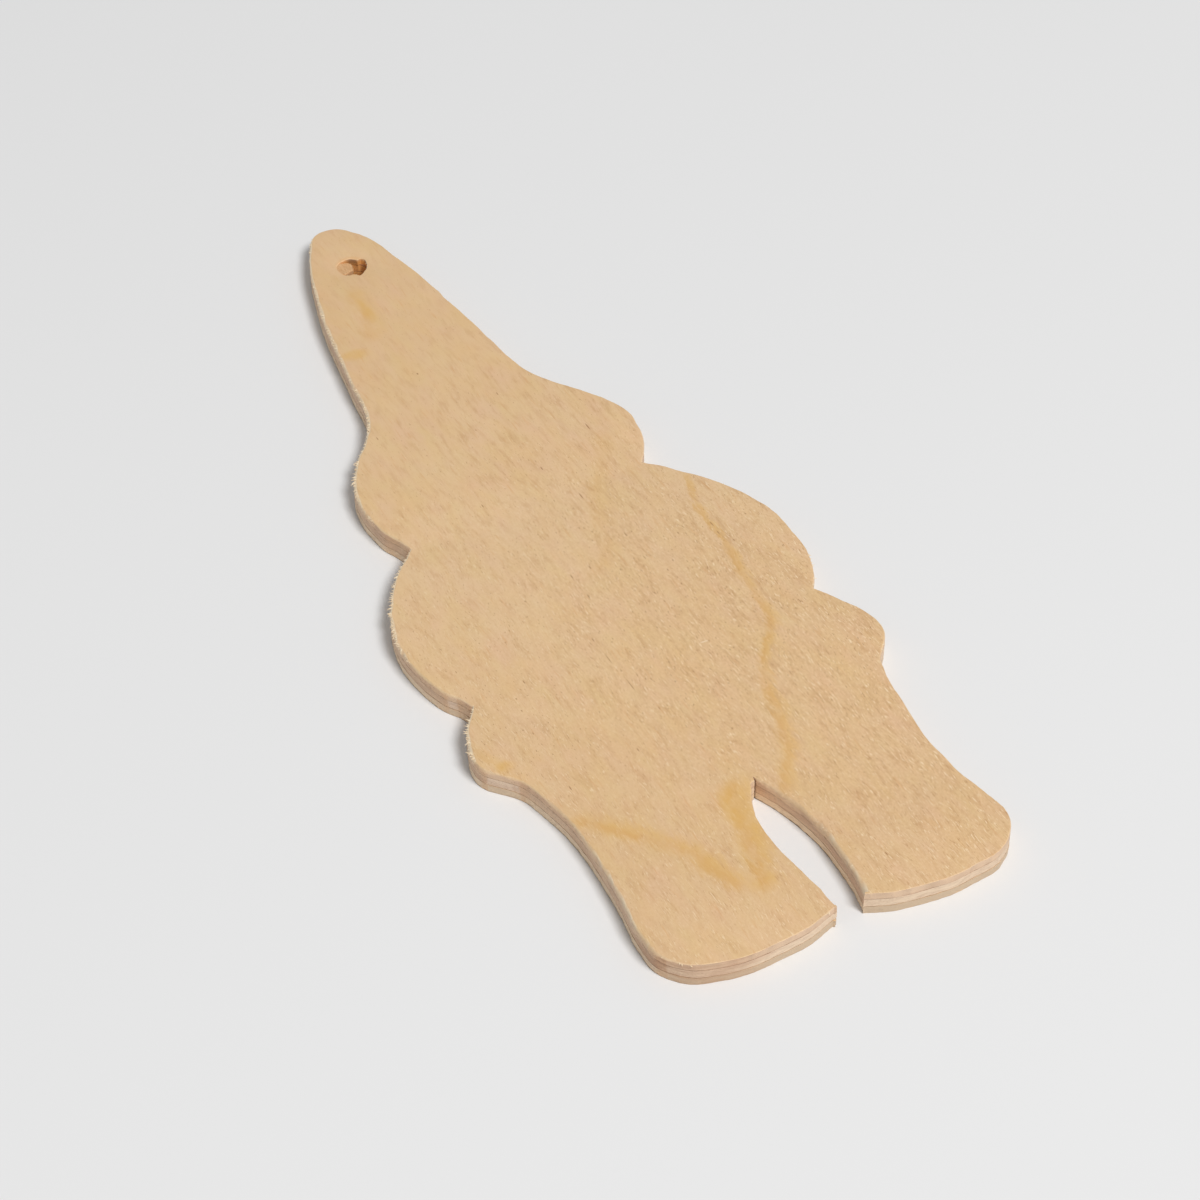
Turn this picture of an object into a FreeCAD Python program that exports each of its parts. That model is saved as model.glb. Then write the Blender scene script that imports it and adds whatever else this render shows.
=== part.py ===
"""Flat plywood figure blank: a person in a tall pointed hat, sawn from three-ply board.

Millimetres.  The blank lies on its back: +Z points out of the front, +Y towards the tip of the hat,
and +X to the right of someone looking at the front.  The origin is on the back face, under the
middle of the outline's box.
"""

import FreeCAD, Part
import math
import os
from collections import namedtuple

# ---- Board: the layers from the back to the front ----
BACK_VENEER = 0.95
CORE_VENEER = 1.00
FACE_VENEER = 0.90
GLUE_FILM = 0.075

# ---- Hanging hole ----
HOLE_DIAMETER = 4.0
HOLE_FROM_TIP = 9.5             # tip of the hat to the middle of the hole
HOLE_OFFSET = 0.5               # middle of the hole, right of the centreline

# ---- Outline: half widths from the centreline, and heights as steps from the soles up ----
# A lean is the outline's slope in degrees, outwards from straight down the figure.
SOLE_LOW_OUT = 11.8             # where each sole touches a table when the figure stands
FOOT_HALF_WIDTH = 21.5
FOOT_HEIGHT = 5.9               # sole to the widest place of the foot
TOE_ROUND_IN = 4.4              # how far the rounded toe reaches in from the foot's side
TOE_ROUND_RISE = 0.8            # height above the sole where that rounding ends
TOE_ROUND_LEAN = -82.0

ANKLE_HALF_WIDTH = 20.2
ANKLE_RISE = 11.5
KNEE_OUT = 1.8                  # knee beyond the ankle
KNEE_RISE = 14.2
KNEE_LEAN = -22.0

HIP_HALF_WIDTH = 25.6
HIP_UNDERCUT = 2.2              # depth of the hollow under the hip
HIP_UNDERCUT_RISE = 2.2
HIP_UNDERCUT_LEAN = -42.5
HIP_RISE = 4.0

WAIST_NOTCH_RISE = 8.6
WAIST_NOTCH_DEPTH = 3.3         # cut in from the belly's half width
WAIST_LEAN_ABOVE = -36.0
WAIST_LEAN_BELOW = 31.0

BELLY_HALF_WIDTH = 25.2
BELLY_RISE = 10.8

# The neck notches were sawn freehand, so the left one is lower and shallower than the right one.
LEFT_NECK_NOTCH_RISE = 17.0
LEFT_NECK_NOTCH_DEPTH = 1.9     # cut in from the head's half width
RIGHT_NECK_NOTCH_RISE = 19.1
RIGHT_NECK_NOTCH_DEPTH = 3.4
NECK_LEAN_ABOVE = -35.5
NECK_LEAN_BELOW = 45.5

HEAD_HALF_WIDTH = 18.6
LEFT_HEAD_RISE = 10.1
RIGHT_HEAD_RISE = 8.2
HEAD_TOP_HALF_WIDTH = 14.1      # where the head's curve turns into the hat's
HEAD_TOP_LEAN = 40.0
HEAD_TOP_FROM_NOTCH = 18.9      # above the middle of the two neck notches

HAT_FOOT_HALF_WIDTH = 9.8
HAT_FOOT_RISE = 12.0
HAT_FOOT_LEAN = 5.0
HAT_HEIGHT = 33.85              # foot of the hat to its tip
HAT_TIP_OFFSET = 0.75           # the tip stands right of the centreline
HAT_TIP_HALF_WIDTH = 4.5
HAT_TIP_DEPTH = 5.1             # height of the rounded tip
HAT_TIP_LEAN = 19.0

# ---- Slot between the legs ----
SLOT_OFFSET = 0.25              # slot right of the centreline
SLOT_HALF_WIDTH = 2.8
SLOT_WIDEST_HEIGHT = 12.5
SLOT_TOP_HEIGHT = 22.0
SLOT_TOP_LEAN = 29.0            # half the angle of its pointed top
SLOT_MOUTH_HALF_WIDTH = 1.6
SLOT_MOUTH_HEIGHT = 1.9
SLOT_MOUTH_LEAN = -9.5
SOLE_INNER_LEAN = -102.0        # slope of the sole where it meets the slot

LEFT = -1
RIGHT = 1
STRAIGHT = 1e-6                 # a turn, in radians, too small for an arc

# One place on the outline: x outwards from the centreline, y above the soles, and the lean of the
# line that arrives there and of the line that leaves, which differ only at a sharp corner.
Station = namedtuple("Station", "x y arrive leave")


def smooth(x, y, lean):
    """Station where the outline passes through without a corner."""
    return Station(x, y, lean, lean)


def direction(lean):
    """Unit vector that leans outwards from straight down the figure."""
    angle = math.radians(lean)
    return FreeCAD.Vector(math.sin(angle), -math.cos(angle), 0)


def tangent_arc(start, heading, end):
    """Arc from start to end that leaves start along the heading."""
    chord = end - start
    turn = heading.getAngle(chord)
    if turn < STRAIGHT:
        return Part.LineSegment(start, end).toShape()
    along = FreeCAD.Vector(chord).normalize()
    outward = (heading - along * heading.dot(along)).normalize()
    crown = start + chord / 2 + outward * (chord.Length / 2 * math.tan(turn / 2))
    return Part.Arc(start, crown, end).toShape()


def arc_pair(start, leave, end, arrive):
    """Two arcs that join smoothly, leave start along one heading and reach end along another."""
    span = end - start
    both = leave + arrive
    bend = 2 * (1 - leave.dot(arrive))
    if bend < STRAIGHT:
        reach = span.dot(span) / (4 * span.dot(arrive))
    else:
        reach = (math.sqrt(span.dot(both) ** 2 + bend * span.dot(span)) - span.dot(both)) / bend
    joint = (start + end + (leave - arrive) * reach) / 2
    return [tangent_arc(start, leave, joint), tangent_arc(end, arrive * -1, joint)]


def side_stations(side):
    """Stations of one side from the tip of the hat down, round the foot and up the slot."""
    notch_rise = RIGHT_NECK_NOTCH_RISE if side == RIGHT else LEFT_NECK_NOTCH_RISE
    notch_depth = RIGHT_NECK_NOTCH_DEPTH if side == RIGHT else LEFT_NECK_NOTCH_DEPTH
    head_rise = RIGHT_HEAD_RISE if side == RIGHT else LEFT_HEAD_RISE

    ankle = FOOT_HEIGHT + ANKLE_RISE
    knee = ankle + KNEE_RISE
    undercut = knee + HIP_UNDERCUT_RISE
    hip = undercut + HIP_RISE
    waist = hip + WAIST_NOTCH_RISE
    belly = waist + BELLY_RISE
    notch = belly + notch_rise
    middle_notch = belly + (LEFT_NECK_NOTCH_RISE + RIGHT_NECK_NOTCH_RISE) / 2
    head_top = middle_notch + HEAD_TOP_FROM_NOTCH
    hat_foot = head_top + HAT_FOOT_RISE
    tip = hat_foot + HAT_HEIGHT
    tip_x = HAT_TIP_OFFSET * side
    slot_x = SLOT_OFFSET * side

    return [
        smooth(tip_x, tip, 90),
        smooth(tip_x + HAT_TIP_HALF_WIDTH, tip - HAT_TIP_DEPTH, HAT_TIP_LEAN),
        smooth(HAT_FOOT_HALF_WIDTH, hat_foot, HAT_FOOT_LEAN),
        smooth(HEAD_TOP_HALF_WIDTH, head_top, HEAD_TOP_LEAN),
        smooth(HEAD_HALF_WIDTH, notch + head_rise, 0),
        Station(HEAD_HALF_WIDTH - notch_depth, notch, NECK_LEAN_ABOVE, NECK_LEAN_BELOW),
        smooth(BELLY_HALF_WIDTH, belly, 0),
        Station(BELLY_HALF_WIDTH - WAIST_NOTCH_DEPTH, waist, WAIST_LEAN_ABOVE, WAIST_LEAN_BELOW),
        smooth(HIP_HALF_WIDTH, hip, 0),
        smooth(HIP_HALF_WIDTH - HIP_UNDERCUT, undercut, HIP_UNDERCUT_LEAN),
        smooth(ANKLE_HALF_WIDTH + KNEE_OUT, knee, KNEE_LEAN),
        smooth(ANKLE_HALF_WIDTH, ankle, 0),
        smooth(FOOT_HALF_WIDTH, FOOT_HEIGHT, 0),
        smooth(FOOT_HALF_WIDTH - TOE_ROUND_IN, TOE_ROUND_RISE, TOE_ROUND_LEAN),
        smooth(SOLE_LOW_OUT, 0, -90),
        Station(
            slot_x + SLOT_MOUTH_HALF_WIDTH, SLOT_MOUTH_HEIGHT, SOLE_INNER_LEAN, 180 + SLOT_MOUTH_LEAN
        ),
        smooth(slot_x + SLOT_HALF_WIDTH, SLOT_WIDEST_HEIGHT, 180),
        smooth(slot_x, SLOT_TOP_HEIGHT, 180 + SLOT_TOP_LEAN),
    ]


def side_edges(side):
    """Arcs of one side, joined from station to station."""
    edges = []
    stations = side_stations(side)
    for here, there in zip(stations, stations[1:]):
        start = FreeCAD.Vector(here.x, here.y, 0)
        end = FreeCAD.Vector(there.x, there.y, 0)
        edges += arc_pair(start, direction(here.leave), end, direction(there.arrive))
    if side == LEFT:
        edges = [edge.mirror(FreeCAD.Vector(), FreeCAD.Vector(1, 0, 0)) for edge in edges]
    return edges


def figure_profile():
    """Sawn outline with the drilled hole, flat, centred on the origin."""
    outline = Part.Wire(Part.__sortEdges__(side_edges(RIGHT) + side_edges(LEFT)))
    tip = side_stations(RIGHT)[0]
    hole_middle = FreeCAD.Vector(HOLE_OFFSET, tip.y - HOLE_FROM_TIP, 0)
    hole = Part.Wire(Part.makeCircle(HOLE_DIAMETER / 2, hole_middle))
    profile = Part.Face(outline).cut(Part.Face(hole)).Faces[0]
    box = outline.BoundBox
    profile.translate(FreeCAD.Vector(-box.Center.x, -box.Center.y, 0))
    return profile


def board_layers():
    """Name, underside height and thickness of each layer, from the back up."""
    thicknesses = [
        ("back_veneer", BACK_VENEER),
        ("lower_glue_film", GLUE_FILM),
        ("core_veneer", CORE_VENEER),
        ("upper_glue_film", GLUE_FILM),
        ("face_veneer", FACE_VENEER),
    ]
    height = 0.0
    for name, thickness in thicknesses:
        yield name, height, thickness
        height += thickness


def main():
    os.makedirs("parts", exist_ok=True)
    profile = figure_profile()
    for name, height, thickness in board_layers():
        layer = profile.extrude(FreeCAD.Vector(0, 0, thickness))
        layer.translate(FreeCAD.Vector(0, 0, height))
        layer.exportStep(f"parts/{name}.step")


main()
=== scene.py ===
"""Dresses a flat plywood figure blank: three veneers, two glue lines, sawn edges and torn fibres.

Lists and the materials' patterns are in millimetres, meshes and settings in metres.
"""

import math
from functools import reduce
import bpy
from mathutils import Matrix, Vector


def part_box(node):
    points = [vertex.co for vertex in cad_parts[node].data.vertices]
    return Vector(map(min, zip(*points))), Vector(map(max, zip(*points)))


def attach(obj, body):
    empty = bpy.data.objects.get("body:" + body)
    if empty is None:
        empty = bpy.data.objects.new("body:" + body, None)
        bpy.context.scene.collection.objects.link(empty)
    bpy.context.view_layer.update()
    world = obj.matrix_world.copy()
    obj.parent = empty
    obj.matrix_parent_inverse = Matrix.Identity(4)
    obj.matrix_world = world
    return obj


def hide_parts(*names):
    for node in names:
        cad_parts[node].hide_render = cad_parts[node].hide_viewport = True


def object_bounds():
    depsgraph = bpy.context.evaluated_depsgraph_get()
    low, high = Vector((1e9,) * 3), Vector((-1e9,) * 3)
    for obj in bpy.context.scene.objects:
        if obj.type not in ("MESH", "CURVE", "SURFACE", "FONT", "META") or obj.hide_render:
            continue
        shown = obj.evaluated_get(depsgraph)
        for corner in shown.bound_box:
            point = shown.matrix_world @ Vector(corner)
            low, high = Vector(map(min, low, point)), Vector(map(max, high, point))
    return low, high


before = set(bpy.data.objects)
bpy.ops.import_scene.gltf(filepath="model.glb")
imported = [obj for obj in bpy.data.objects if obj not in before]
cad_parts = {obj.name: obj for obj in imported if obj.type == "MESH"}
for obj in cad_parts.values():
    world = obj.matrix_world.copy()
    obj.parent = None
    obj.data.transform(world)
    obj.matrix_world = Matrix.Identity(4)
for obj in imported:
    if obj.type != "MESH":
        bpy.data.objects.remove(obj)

from types import SimpleNamespace

import bmesh
import bpy
import numpy as np
from bpy.props import FloatProperty, FloatVectorProperty, IntProperty, PointerProperty
from mathutils import Vector
from mathutils.geometry import delaunay_2d_cdt

bl_info = {
    "name": "Plywood Figure Blank",
    "version": (1, 0, 0),
    "blender": (4, 5, 0),
    "location": "3D View > Sidebar > Figure Blank",
    "description": "Builds a three-ply figure blank with sawn edges, veneers and torn fibres",
    "category": "Object",
}

BODY = "root"
MM = 0.001
CAD_BOX = [list(corner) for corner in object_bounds()]
SOLE = CAD_BOX[0][1]
SMOOTH_ANGLE = math.radians(35)
# The CAD's layers. A layer's place in this list sets its random lines apart.
LAYERS = ("face_veneer", "core_veneer", "back_veneer", "upper_glue_film", "lower_glue_film")
# What is added to the seed for each kind of random line.
SEEDS = {
    "stray": 0, "cuts": 1, "layer": 2, "wear": 5, "small_chips": 6, "chips": 7,
    "long_fibre": 20, "short_fibre": 30, "plug": 40, "shards": 50,
}


def seed(kind):
    return bpy.context.scene.figure_edge.seed + SEEDS[kind]


def board_spot(across, up):
    """A spot on the board in metres, from its x and its height above the soles in millimetres."""
    return np.array((across * MM, SOLE + up * MM))


def tint(*shades):
    """A colour from three shades of 0 to 255, as the linear values that Blender mixes."""
    shares = [shade / 255 for shade in shades]
    return tuple(s / 12.92 if s <= 0.04045 else ((s + 0.055) / 1.055) ** 2.4 for s in shares)


def swatch(name, description, *shades):
    """A colour setting."""
    return FloatVectorProperty(
        name=name, description=description, default=tint(*shades),
        subtype="COLOR", size=3, min=0.0, max=1.0,
    )


def measure(name, description, millimetres):
    """A length setting."""
    return FloatProperty(
        name=name, description=description, default=millimetres * MM,
        unit="LENGTH", subtype="DISTANCE", min=0.0, precision=5,
    )


class FigureEdgeSizes(bpy.types.PropertyGroup):
    """How the sawn edge is worked."""

    step: measure("Step", "Distance between points along the sawn edge", 0.15)
    hole_step: measure("Hole step", "Distance between points round the hole", 0.08)
    arris: measure("Arris", "How far the top corner of the edge is worn back", 0.3)
    arris_drop: measure("Arris drop", "How far down the edge that wear reaches", 0.54)
    saw_depth: measure("Saw marks", "Depth of the upright marks that the saw leaves", 0.018)
    rough_depth: measure("Roughness", "Depth of the torn fibre on the sawn edge", 0.022)
    wander_depth: measure("Wander", "How far the cut strays from its line", 0.03)
    chip_depth: measure("Chips", "How far the bottom corner is torn away", 0.11)
    hair: measure("Hair", "Thickness of the loose fibres at the edge", 0.06)
    seed: IntProperty(name="Seed", description="Picks another set of marks", default=7, min=0)


class FigureWoodColours(bpy.types.PropertyGroup):
    """Colours of the veneers and the glue."""

    face_light: swatch("Face, light", "Palest wood on the face", 226, 192, 148)
    face_dark: swatch("Face, yellow", "Yellower patches on the face", 224, 189, 141)
    face_pink: swatch("Face, pink", "Pinker patches on the face", 225, 189, 150)
    grain_dark: swatch("Grain", "Dark streaks of the grain", 196, 154, 108)
    ring: swatch("Growth ring", "Honey glow round a growth ring", 216, 169, 80)
    ring_dark: swatch("Growth line", "Brown line in the middle of a growth ring", 202, 144, 78)
    grain_line: swatch("Grain line", "Fine dark line of the grain", 170, 120, 76)
    rust: swatch("Rust", "Orange thread of the grain", 208, 152, 96)
    fleck: swatch("Fleck", "Pale fleck in the grain", 240, 214, 176)
    pore: swatch("Pore", "Dark speck or short line in the grain", 142, 94, 54)
    face_side: swatch("Face ply, along", "Face veneer's edge along the grain", 232, 197, 161)
    face_end: swatch("Face ply, ends", "Face veneer's edge across the grain", 218, 188, 158)
    core_side: swatch("Core, along", "Core's edge along its own grain", 229, 205, 177)
    core_end: swatch("Core, ends", "Core's edge across its own grain", 233, 202, 170)
    back_side: swatch("Back ply, along", "Back veneer's edge along the grain", 241, 217, 186)
    back_end: swatch("Back ply, ends", "Back veneer's edge across the grain", 203, 180, 152)
    edge_line: swatch("Edge lines", "Fine dark lines of fibre on the sawn edge", 146, 106, 76)
    upper_glue: swatch("Upper glue", "Glue line under the face veneer", 180, 144, 116)
    lower_glue: swatch("Lower glue", "Glue line over the back veneer", 182, 146, 112)
    glue_dark: swatch("Dark glue", "Glue where it lies thickest", 128, 92, 68)
    scorch: swatch("Scorch", "Wood browned by the drill round the hole", 222, 157, 82)
    torn: swatch("Torn wood", "Raw torn fibre", 246, 228, 198)


# Stains, tints and the colours of painted light and shade that lie over those colours.
STAIN = SimpleNamespace(
    edge_slant=tint(214, 162, 112), core_slant=tint(244, 214, 186), core_tuck=tint(240, 212, 196),
    slot_light_and_pale=tint(246, 222, 188), edge_patch=tint(200, 162, 136), foot_corner=tint(176, 128, 94),
    tip_shade=tint(120, 84, 58), char=tint(112, 76, 42), back_streak=tint(186, 144, 100),
    contact_shadow=tint(96, 66, 44), glue_fibre=tint(206, 174, 138), glue_corner=tint(132, 82, 62),
    glue_hole=tint(150, 100, 58), plug=tint(218, 176, 130), plug_dark=tint(196, 148, 100),
    shard_dark=tint(222, 192, 152),
)


class FigureStageSettings(bpy.types.PropertyGroup):
    """Floor, light and camera."""

    floor: swatch("Floor", "Colour of the floor", 230, 230, 230)
    key: FloatProperty(name="Key light", description="Share of the light from the lamp", default=0.65)
    sky: FloatProperty(name="Sky light", description="Share of the light from all round", default=0.365)
    azimuth: FloatProperty(
        name="Camera azimuth", description="Camera's angle round the board",
        default=math.radians(-27.262), unit="ROTATION", subtype="ANGLE",
    )
    elevation: FloatProperty(
        name="Camera elevation", description="Camera's angle above the floor",
        default=math.radians(40.959), unit="ROTATION", subtype="ANGLE",
    )
    distance: measure("Camera distance", "From the camera to the point it looks at", 350.54)
    lens: FloatProperty(name="Lens", description="Focal length in millimetres", default=90.0, min=1.0)


# Lines and noise


def unit(vectors):
    """The same ways with a length of 1."""
    return vectors / np.linalg.norm(vectors, axis=-1, keepdims=True)


class Rim:
    """A closed line round the board or its hole, with the way out of the wood at each point.

    It is smooth through the chain's points, but for corners that turn by more than sharp, in radians.
    """

    def __init__(self, chain, step, hole=False, sharp=0.65):
        self.hole = hole
        length, corner, leave, arrive = self._slopes(chain, sharp)
        first = np.argmax(corner)
        stops = list(np.flatnonzero(np.roll(corner, -first))) or [0]
        stops.append(len(chain))
        points, outward = [], []
        for begin, end in zip(stops, stops[1:]):
            fine = self._section(chain, length, leave, arrive, first + begin, end - begin)
            run = np.concatenate([[0], np.cumsum(np.linalg.norm(np.diff(fine, axis=0), axis=1))])
            count = max(4, round(run[-1] / step))
            at = np.linspace(0, run[-1], count + 1)
            even = np.stack([np.interp(at, run, fine[:, k]) for k in (0, 1)], 1)
            slope = unit(np.gradient(even, axis=0))
            points.append(even[:-1])
            outward.append(np.stack([slope[:, 1], -slope[:, 0]], 1))
        for i in range(len(outward)):
            outward[i][0] = unit(outward[i - 1][-1] + outward[i][0])
        self.points = np.concatenate(points)
        self.outward = np.concatenate([side[:-1] for side in outward])
        gaps = np.linalg.norm(np.roll(self.points, -1, 0) - self.points, axis=1)
        self.length = gaps.sum()
        self.along = np.concatenate([[0], np.cumsum(gaps)[:-1]])

    def middle(self):
        return self.points.mean(0)

    def angles(self):
        """The angle of each point round the line's middle, in degrees."""
        away = self.points - self.middle()
        return np.degrees(np.arctan2(away[:, 1], away[:, 0]))

    def nearest(self, spot):
        """The number of the point that is nearest to a spot."""
        return np.argmin(np.linalg.norm(self.points - spot, axis=1))

    def wander(self, pitch, seed, shift=0.0):
        """A smooth random value from -1 to 1 at each point, with a turn about every pitch millimetres."""
        count = max(4, round(self.length / (pitch * MM)))
        knots = np.random.default_rng(seed).uniform(-1, 1, count)
        t = ((self.along + shift) / self.length) % 1.0 * count
        whole = np.floor(t).astype(int)
        share = t - whole
        share = share * share * (3 - 2 * share)
        return knots[whole % count] * (1 - share) + knots[(whole + 1) % count] * share

    def patches(self, z, pitch, layer, seed):
        """Random values from -1 to 1 over the cut, in patches that are pitch long and layer high, in mm."""
        # A seed can't be negative, so the layers are counted from well below the board.
        level = float(np.mean(z)) / (layer * MM) + 50
        under = math.floor(level)
        share = level - under
        below, above = (self.wander(pitch, (seed, under + k)) for k in (0, 1))
        return below + (above - below) * share * share * (3 - 2 * share)

    @staticmethod
    def _slopes(chain, sharp):
        """The chain's steps and corners, and the ways in which the line leaves each point and comes to it."""
        ahead = np.roll(chain, -1, 0) - chain
        length = np.linalg.norm(ahead, axis=1)
        way = unit(ahead)
        before, before_length = np.roll(way, 1, 0), np.roll(length, 1)
        turn = np.arctan2(before[:, 0] * way[:, 1] - before[:, 1] * way[:, 0], (before * way).sum(1))
        corner = np.abs(turn) > sharp
        tangent = unit(before * length[:, None] + way * before_length[:, None])
        leave, arrive = tangent.copy(), tangent.copy()
        # Beside a corner the line bends evenly: its slope there mirrors the one at the next point.
        for i in np.flatnonzero(corner):
            following, previous = tangent[(i + 1) % len(chain)], tangent[i - 1]
            leave[i] = 2 * (following @ way[i]) * way[i] - following
            arrive[i] = 2 * (previous @ before[i]) * before[i] - previous
        return length, corner, leave, arrive

    @staticmethod
    def _section(chain, length, leave, arrive, begin, count):
        """The smooth curve through the chain's points from one corner to the next."""
        fineness = 14
        t = np.linspace(0, 1, fineness, endpoint=False)[:, None]
        parts = []
        for i in range(begin, begin + count):
            a, b = i % len(chain), (i + 1) % len(chain)
            parts.append(
                (2 * t**3 - 3 * t**2 + 1) * chain[a]
                + (t**3 - 2 * t**2 + t) * length[a] * leave[a]
                + (3 * t**2 - 2 * t**3) * chain[b]
                + (t**3 - t**2) * length[a] * arrive[b]
            )
        parts.append(chain[(begin + count) % len(chain)][None])
        return np.concatenate(parts)


def rim_chains(node):
    """The closed chains of points round a CAD veneer's top face: the board's, then its hole's."""
    bm = bmesh.new()
    bm.from_mesh(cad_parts[node].data)
    bmesh.ops.remove_doubles(bm, verts=bm.verts, dist=1e-7)
    top = {face for face in bm.faces if face.normal.z > 0.99}
    following = {}
    for face in top:
        for loop in face.loops:
            if not all(other in top for other in loop.edge.link_faces):
                following[loop.vert] = loop.link_loop_next.vert
    chains = []
    while following:
        start, vert = next(iter(following.items()))
        chain = [start.co.xy[:]]
        del following[start]
        while vert is not start:
            chain.append(vert.co.xy[:])
            vert = following.pop(vert)
        # The faces come in any order, so each chain is turned to start at its top, the same in every run.
        # A little of x settles a tie.
        chain = np.array(chain)
        start_at = np.argmax(chain[:, 1] + chain[:, 0] * 0.01)
        chains.append(np.roll(chain, -start_at, 0))
    bm.free()
    chains.sort(key=len, reverse=True)
    return chains


# Meshes


def add_piece(name, verts, faces, material, node=None):
    """A new mesh piece that rides on the board."""
    mesh = bpy.data.meshes.new(name)
    mesh.from_pydata([tuple(v) for v in verts], [], faces)
    mesh.validate()
    mesh.shade_smooth()
    mesh.set_sharp_from_angle(angle=SMOOTH_ANGLE)
    mesh.materials.append(material)
    piece = bpy.data.objects.new(name, mesh)
    bpy.context.scene.collection.objects.link(piece)
    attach(piece, BODY)
    if node:
        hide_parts(node)


def cap(rings, verts, height, inner, upward):
    """Triangles over the area inside the first ring and outside the others.

    The inner points, and any that the triangles need besides, are added to verts.
    """
    flat, owner, loops = [], [], []
    for ring in rings:
        loops.append(list(range(len(flat), len(flat) + len(ring))))
        owner += list(ring)
        flat += [Vector(verts[i][:2]) for i in ring]
    for point in inner:
        owner.append(len(verts))
        verts.append((point[0], point[1], height(point)))
        flat.append(Vector(point))
    scale, inside_only, tolerance = 1000.0, 2, 1e-5
    out, _, faces, sources, _, _ = delaunay_2d_cdt(
        [spot * scale for spot in flat], [], loops, inside_only, tolerance
    )
    index = []
    for place, source in zip(out, sources):
        if source:
            index.append(owner[source[0]])
        else:
            index.append(len(verts))
            spot = place / scale
            verts.append((spot.x, spot.y, height(spot)))
    made = [[index[i] for i in face] for face in faces]
    return made if upward else [face[::-1] for face in made]


def closed_piece(name, rims, rows, height, material, inner=(), node=None):
    """A closed piece: one ring of points for each row and rim, from the top down, and a cap at both ends."""
    verts, faces, tops, bottoms = [], [], [], []
    for rim in rims:
        count, start = len(rim.points), len(verts)
        for z, offset in rows(rim):
            spot = rim.points + rim.outward * offset[:, None]
            verts += [(x, y, h) for (x, y), h in zip(spot, np.broadcast_to(z, count))]
        depth = (len(verts) - start) // count
        for row in range(depth - 1):
            a, b = start + row * count, start + (row + 1) * count
            for i in range(count):
                j = (i + 1) % count
                faces.append((a + i, b + i, b + j, a + j))
        tops.append(range(start, start + count))
        bottoms.append(range(start + (depth - 1) * count, start + depth * count))
    faces += cap(tops, verts, height, inner, upward=True)
    faces += cap(bottoms, verts, lambda spot: verts[bottoms[0][0]][2], [], upward=False)
    add_piece(name, verts, faces, material, node)


def ply_piece(name, node, rows, material):
    """A layer of the board that stands for its CAD node."""
    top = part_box(node)[1].z
    closed_piece(name, board_rims(), rows, lambda spot: top, material, node=node)


def shard(verts, faces, root, way, bend, length, wide, thick):
    """Adds one loose shard of wood: a flat bent spike that starts at root and points along way."""
    way = unit(np.array(way))
    across = unit(np.cross(way, (0.0, 0.0, 1.0)))
    other = np.cross(way, across)
    joints = 5
    for joint in range(joints):
        t = joint / (joints - 1)
        spot = root + way * length * t + np.array(bend) * length * t * t
        taper = 0.5 - 0.4 * t
        for side in (across * wide, other * thick, across * -wide, other * -thick):
            verts.append(tuple(spot + side * taper))
    start = len(verts) - 4 * joints
    for joint in range(joints - 1):
        for k in range(4):
            a, b = start + 4 * joint + k, start + 4 * joint + (k + 1) % 4
            faces.append((a, a + 4, b + 4, b))
    faces.append(tuple(range(start, start + 4)))
    faces.append(tuple(range(len(verts) - 1, len(verts) - 5, -1)))


# Materials


def math_step(operation, swapped=False):
    """A method that joins two values by one Math node."""

    def step(self, other=0.0):
        first, second = (other, self) if swapped else (self, other)
        return self.finish.node("Math", {"operation": operation}, {0: first, 1: second})

    return step


class Tone:
    """A shader socket that takes Python's arithmetic, one Math node for each step."""

    def __init__(self, finish, socket):
        self.finish, self.socket = finish, socket

    __add__ = __radd__ = math_step("ADD")
    __mul__ = __rmul__ = math_step("MULTIPLY")
    __sub__, __rsub__ = math_step("SUBTRACT"), math_step("SUBTRACT", swapped=True)
    __truediv__, __abs__, most = math_step("DIVIDE"), math_step("ABSOLUTE"), math_step("MAXIMUM")

    def rise(self, low, high):
        """0 at low and 1 at high, with a soft start and end."""
        return self.finish.node(
            "MapRange", {"interpolation_type": "SMOOTHSTEP"},
            {"Value": self, "From Min": low, "From Max": high},
        )

    def fall(self, low, high):
        """1 at low and 0 at high, with a soft start and end."""
        return 1.0 - self.rise(low, high)

    def between(self, start, full, still, end):
        """0 up to start, 1 from full to still, and 0 again from end."""
        return self.rise(start, full) * self.fall(still, end)


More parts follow.
